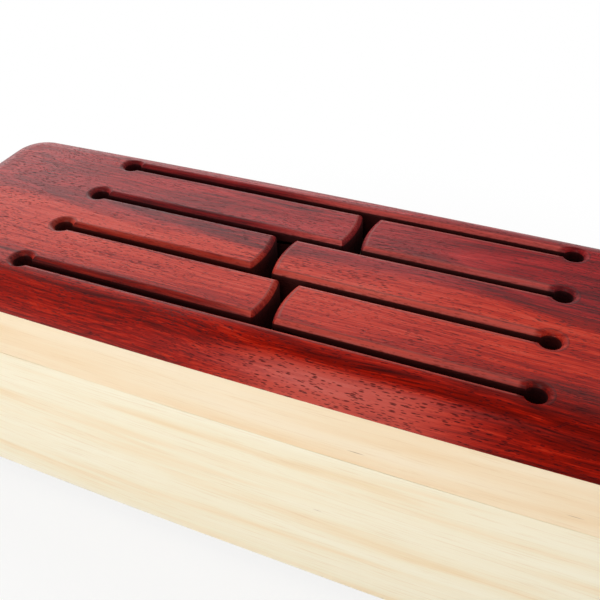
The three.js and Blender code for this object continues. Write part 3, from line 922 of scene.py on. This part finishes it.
def settle(made, material, slot, *nodes):
    """The finished piece takes its material, stands for its CAD nodes and rides on the drum."""
    made.data.materials.clear()
    made.data.materials.append(material)
    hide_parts(*nodes)
    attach(made, "root")


def tongue_plate(wood):
    plate = plate_blank()
    cutters = {
        "Slot cutter": slot_cutter(), "Hole cutter": hole_cutter(),
        "Gap cutters": gap_cutters(), "Hollow cutters": hollow_cutters(),
    }
    plain_result(plate, slotting_tree(), {
        **cutters, "Slot pitch": SLOT_PITCH, "Hole span": HOLE_SPAN, "Rows": SLOT_ROWS,
        "Wood": wood,
    })
    for cutter in cutters.values():
        bpy.data.objects.remove(cutter)
    plate.name = "padauk_tongue_plate"
    soften(plate)
    settle(plate, wood, "padauk", "tongue_plate")


def turned_row(radius, height):
    """A circle of points round the Z axis, or one point where the radius is nothing."""
    return circle(radius, height, TURNED_STEPS) if radius else [(0.0, 0.0, height)]


def turned(name, rows, ring=False):
    """A solid over rows of points, which go outward below, up the outside and inward on top.
    A ring also goes down its inside, back to the first row."""
    starts = [sum(len(row) for row in rows[:i]) for i in range(len(rows))]
    pairs = [(i, i + 1) for i in range(len(rows) - 1)]
    if ring:
        pairs.append((len(rows) - 1, 0))
    faces = []
    for low, high in pairs:
        for i in range(TURNED_STEPS):
            j = (i + 1) % TURNED_STEPS
            below = (starts[low] + i, starts[low] + j) if len(rows[low]) > 1 else (starts[low],)
            above = (starts[high] + j, starts[high] + i) if len(rows[high]) > 1 else (starts[high],)
            faces.append(below + above)
    return object_from(name, [point for row in rows for point in row], faces)


def rounded_corner(radius, height, ease, start):
    """Points of radius and height on a quarter circle about a centre. It starts at a number of
    quarter turns."""
    points = []
    for i in range(ROUND_STEPS + 1):
        angle = math.pi / 2 * (start + i / ROUND_STEPS)
        points.append((radius + ease * math.cos(angle), height + ease * math.sin(angle)))
    return points


def rubber_foot():
    profile = [(SCREW_HOLE, RECESS_DEPTH), (RECESS_RADIUS, RECESS_DEPTH)]
    profile += rounded_corner(RECESS_RADIUS + RECESS_LIP, RECESS_LIP, -RECESS_LIP, 0)
    profile += rounded_corner(FOOT_BASE - FOOT_ROUND, FOOT_ROUND, FOOT_ROUND, 3)
    profile += [(FOOT_TOP, FOOT_HEIGHT), (SCREW_HOLE, FOOT_HEIGHT)]
    return turned("rubber_feet", [turned_row(*point) for point in profile], ring=True)


def washer():
    low, high = WASHER_TOP - WASHER_THICKNESS + WASHER_EASE, WASHER_TOP - WASHER_EASE
    inner, outer = SCREW_HOLE + WASHER_EASE, WASHER_RADIUS - WASHER_EASE
    profile = []
    for radius, height, start in (
        (inner, low, 2), (outer, low, 3), (outer, high, 0), (inner, high, 1),
    ):
        profile += rounded_corner(radius, height, WASHER_EASE, start)
    return turned("zinc_washers", [turned_row(*point) for point in profile], ring=True)


def thread_row(height, reach):
    """One row of the screw thread, whose ridge climbs one pitch in each turn."""
    row = []
    for i in range(TURNED_STEPS):
        place = (height / THREAD_PITCH - i / TURNED_STEPS) % 1.0
        ridge = max(0.0, 1.0 - 4.0 * abs(place - 0.5))
        radius = reach * (CORE_RADIUS + (SHANK_RADIUS - CORE_RADIUS) * ridge)
        turn = 2 * math.pi * i / TURNED_STEPS
        row.append((radius * math.cos(turn), radius * math.sin(turn), height))
    return row


def pan_head_screw():
    rows = []
    for angle in quarter_turn(ROUND_STEPS):
        height = SCREW_SEAT - HEAD_HEIGHT * math.cos(angle)
        rows.append(turned_row(HEAD_RADIUS * math.sin(angle), height))
    thread_low = SCREW_SEAT + PLAIN_SHANK
    tip = SCREW_SEAT + SCREW_LENGTH
    rows += [turned_row(SHANK_RADIUS, z) for z in (SCREW_SEAT, thread_low - THREAD_START)]
    count = round((tip - thread_low) / THREAD_PITCH * ROWS_PER_PITCH)
    for i in range(count):
        height = thread_low + (tip - thread_low) * i / count
        rows.append(thread_row(height, min(1.0, (tip - height) / TIP_LENGTH)))
    rows.append(turned_row(0.0, tip))
    screw = turned("zinc_screws", rows)
    cross_recess(screw)
    return screw


def cross_recess(screw):
    """Cuts the tapered cross for the driver into the screw's head."""
    rings = []
    for height, long, narrow in CROSS_LEVELS:
        ring = []
        for turn in range(4):
            for x, y in ((long, -narrow), (long, narrow), (narrow, narrow)):
                for _ in range(turn):
                    x, y = -y, x
                ring.append((x, y, SCREW_SEAT - HEAD_HEIGHT + height))
        rings.append(ring)
    cutter = loft("cross_recess", rings)
    cut = screw.modifiers.new("cross_recess", "BOOLEAN")
    cut.operation = "DIFFERENCE"
    cut.solver = "MANIFOLD"
    cut.object = cutter
    apply_modifiers(screw)
    bpy.data.objects.remove(cutter)


def foot_places_tree():
    """Sets one foot, washer or screw at each of the four corners of the bottom."""
    tree, given = new_tree("four_foot_places", {
        "Across X": "NodeSocketFloat", "Across Y": "NodeSocketFloat",
        "Finish": "NodeSocketMaterial",
    })
    corners = add_node(
        tree, "GeometryNodeMeshGrid",
        {"Size X": given["Across X"], "Size Y": given["Across Y"],
         "Vertices X": 2, "Vertices Y": 2},
    )
    placed = add_node(
        tree, "GeometryNodeInstanceOnPoints", {"Points": corners, "Instance": given["Geometry"]}
    )
    return close_tree(tree, placed, given["Finish"])


def foot_hardware(rubber, steel):
    places = foot_places_tree()
    for made, finish, slot, kind in (
        (rubber_foot(), rubber, "feet", "foot"),
        (washer(), steel, "screws", "washer"),
        (pan_head_screw(), steel, "screws", "screw"),
    ):
        plain_result(
            made, places, {"Across X": 2 * FOOT_X, "Across Y": 2 * FOOT_Y, "Finish": finish}
        )
        soften(made)
        settle(made, finish, slot, *[f"{kind}_{corner}" for corner in CORNERS])


def merged_copy(node):
    """A copy of a CAD node's mesh with its corners merged and its flat faces made whole."""
    shape = bmesh.new()
    shape.from_mesh(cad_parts[node].data)
    bmesh.ops.remove_doubles(shape, verts=shape.verts, dist=MERGE_DISTANCE)
    bmesh.ops.dissolve_limit(
        shape, angle_limit=math.radians(FLAT_DEGREES), verts=shape.verts, edges=shape.edges
    )
    return object_of(node + "_piece", shape)


def lay_grain(made, along, seed, paleness):
    """Stores where each point lies in its board, along, across and through the grain, and how
    pale the board is. The seed moves every board to wood of its own."""
    order = {"X": (0, 2, 1), "Y": (1, 2, 0), "Z": (2, 0, 1)}[along]
    places = made.data.attributes.new("board_place", "FLOAT_VECTOR", "POINT")
    for vertex, place in zip(made.data.vertices, places.data):
        place.vector = Vector([vertex.co[axis] for axis in order]) + BOARD_SHIFT * seed
    shades = made.data.attributes.new("board_paleness", "FLOAT", "POINT")
    shades.data.foreach_set("value", [paleness] * len(made.data.vertices))


def board(node, material, slot, along, seed, paleness=0.5):
    made = merged_copy(node)
    soften(made, bevel=EASED_BOARD)
    lay_grain(made, along, seed, paleness)
    settle(made, material, slot, node)


# Stage, light and camera


def seen_directly(tree):
    """1 for rays from the camera, a reflection or a clear body, 0 for rays that light things."""
    path = add_node(tree, "ShaderNodeLightPath").outputs
    either = add_node(
        tree, "ShaderNodeMath", {0: path["Is Camera Ray"], 1: path["Is Glossy Ray"]},
        operation="MAXIMUM",
    )
    return add_node(
        tree, "ShaderNodeMath", {0: either, 1: path["Is Transmission Ray"]}, operation="MAXIMUM"
    )


def stage_floor():
    """A pale floor that fades to white and keeps the drum's shadow."""
    corners = [
        (x * FLOOR_REACH, y * FLOOR_REACH, 0.0) for x, y in ((-1, -1), (1, -1), (1, 1), (-1, 1))
    ]
    made = object_from("studio_floor", corners, [(0, 1, 2, 3)])
    material, tree = start_material("studio_floor_paper")
    place = add_node(tree, "ShaderNodeTexCoord").outputs["Object"]
    away = add_node(tree, "ShaderNodeVectorMath", {0: place}, operation="LENGTH").outputs["Value"]
    fade = add_node(
        tree, "ShaderNodeMapRange",
        {"Value": away, "From Min": FLOOR_FADE[0], "From Max": FLOOR_FADE[1], "To Min": 0.8},
        interpolation_type="SMOOTHSTEP",
    )

    # Under the drum only the real light counts, so it is dark there
    sides = add_node(tree, "ShaderNodeVectorMath", {0: place}, operation="ABSOLUTE")
    reach = add_node(tree, "ShaderNodeSeparateXYZ", {0: sides}).outputs
    under = 1.0
    for axis, half in (("X", HALF_LENGTH), ("Y", HALF_WIDTH)):
        inward = add_node(
            tree, "ShaderNodeMapRange",
            {"Value": reach[axis], "From Min": half - SHADOW_START,
             "From Max": half - SHADOW_FULL[axis]},
        )
        under = add_node(tree, "ShaderNodeMath", {0: inward, 1: under}, operation="MULTIPLY")
    pale = add_node(
        tree, "ShaderNodeMapRange", {"Value": under, "To Min": fade, "To Max": 0.0}
    )
    share = add_node(
        tree, "ShaderNodeMath", {0: pale, 1: seen_directly(tree)}, operation="MULTIPLY"
    )
    paper = add_node(
        tree, "ShaderNodeBsdfPrincipled",
        {"Base Color": linear("#ededed"), "Roughness": 0.9, "Specular IOR Level": 0.0},
    )
    white = add_node(tree, "ShaderNodeEmission", {"Strength": 1.0})
    mixed = add_node(tree, "ShaderNodeMixShader", {0: share, 1: paper, 2: white})
    add_node(tree, "ShaderNodeOutputMaterial", {"Surface": mixed})
    made.data.materials.append(material)


def studio_world():
    """Even pale light from all round, and a white background."""
    world = bpy.data.worlds.new("studio_white")
    world.use_nodes = True
    tree = world.node_tree
    tree.nodes.clear()
    light = add_node(
        tree, "ShaderNodeBackground", {"Color": (0.97, 0.98, 1.0, 1.0), "Strength": 0.4}
    )
    white = add_node(tree, "ShaderNodeBackground", {"Color": (1.0, 1.0, 1.0, 1.0), "Strength": 1.0})
    mixed = add_node(tree, "ShaderNodeMixShader", {0: seen_directly(tree), 1: light, 2: white})
    add_node(tree, "ShaderNodeOutputWorld", {"Surface": mixed})
    bpy.context.scene.world = world


def softbox(name, azimuth, elevation, distance, wide, tall, watts):
    """A soft lamp that faces the drum. Azimuth 0 is in front and 90 to the right."""
    a, e = math.radians(azimuth), math.radians(elevation)
    back = Vector((math.sin(a) * math.cos(e), -math.cos(a) * math.cos(e), math.sin(e)))
    data = bpy.data.lights.new(name, "AREA")
    data.shape = "RECTANGLE"
    data.size, data.size_y = wide, tall
    data.energy = watts
    lamp = add_object(name, data)
    lamp.location = LAMP_AIM + back * distance
    lamp.rotation_euler = back.to_track_quat("Z", "Y").to_euler()


def portrait_camera():
    """The camera of the photograph: front right, looking down on the tongue plate."""
    yaw, pitch, roll = (math.radians(angle) for angle in CAMERA_DEGREES)
    ahead = Vector((
        -math.sin(yaw) * math.cos(pitch), math.cos(yaw) * math.cos(pitch), -math.sin(pitch)
    ))
    level = Vector((math.cos(yaw), math.sin(yaw), 0.0))
    down = ahead.cross(level)
    right = math.cos(roll) * level + math.sin(roll) * down
    down = -math.sin(roll) * level + math.cos(roll) * down
    data = bpy.data.cameras.new("portrait_camera")
    data.sensor_width = 36.0
    data.lens = FOCAL_LENGTH_IN_PICTURES * data.sensor_width
    data.clip_start = 0.01
    data.clip_end = 50.0
    camera = add_object("portrait_camera", data)
    turn = Matrix((right, -down, -ahead)).transposed().to_4x4()
    camera.matrix_world = Matrix.Translation(CAMERA_PLACE) @ turn
    bpy.context.scene.camera = camera


portrait_camera()
studio_world()
stage_floor()

# Lamps: azimuth and elevation in degrees, distance, width and height in metres, and watts
softbox("front_strip_softbox", -15, 16, 1.1, 0.17, 0.9, 4.5)
softbox("front_low_softbox", 30, 8, 1.5, 2.0, 0.5, 1.3)
softbox("front_left_softbox", 4, 51, 1.2, 0.20, 0.30, 1.6)
softbox("rear_left_softbox", -140, 28, 1.3, 1.4, 1.0, 9.0)
softbox("rear_high_softbox", 180, 64, 1.4, 1.0, 0.8, 4.4)
softbox("right_softbox", 113, 33, 1.2, 0.22, 0.30, 1.6)
bpy.context.scene.view_settings.view_transform = "Standard"

padauk_wood = padauk()
birch_wood = birch()
spruce_wood = spruce()

tongue_plate(padauk_wood)

# Each board has the way of its grain and a number of its own, by which its wood differs
for number, side in enumerate(("front", "rear", "left_end", "right_end")):
    along = "X" if side in ("front", "rear") else "Y"
    board(f"{side}_lower_board", birch_wood, "pale_boards", along, 2 * number + 1, paleness=1.0)
    board(f"{side}_upper_board", birch_wood, "pale_boards", along, 2 * number + 2, paleness=0.0)
for number, side in enumerate(("left", "right")):
    board(f"{side}_cross_brace", birch_wood, "braces", "Y", number + 11)
    board(f"bottom_cleat_{side}", spruce_wood, "glue_blocks", "Y", number + 13)
for number, side in enumerate(("front", "rear")):
    board(f"bottom_cleat_{side}", spruce_wood, "glue_blocks", "X", number + 15)
for number, corner in enumerate(CORNERS):
    board(f"corner_post_{corner}", spruce_wood, "glue_blocks", "Z", number + 17)
panel = merged_copy("bottom_panel")
soften(panel)
settle(panel, birch_plywood(), "plywood", "bottom_panel")

foot_hardware(black_rubber(), zinc_steel())
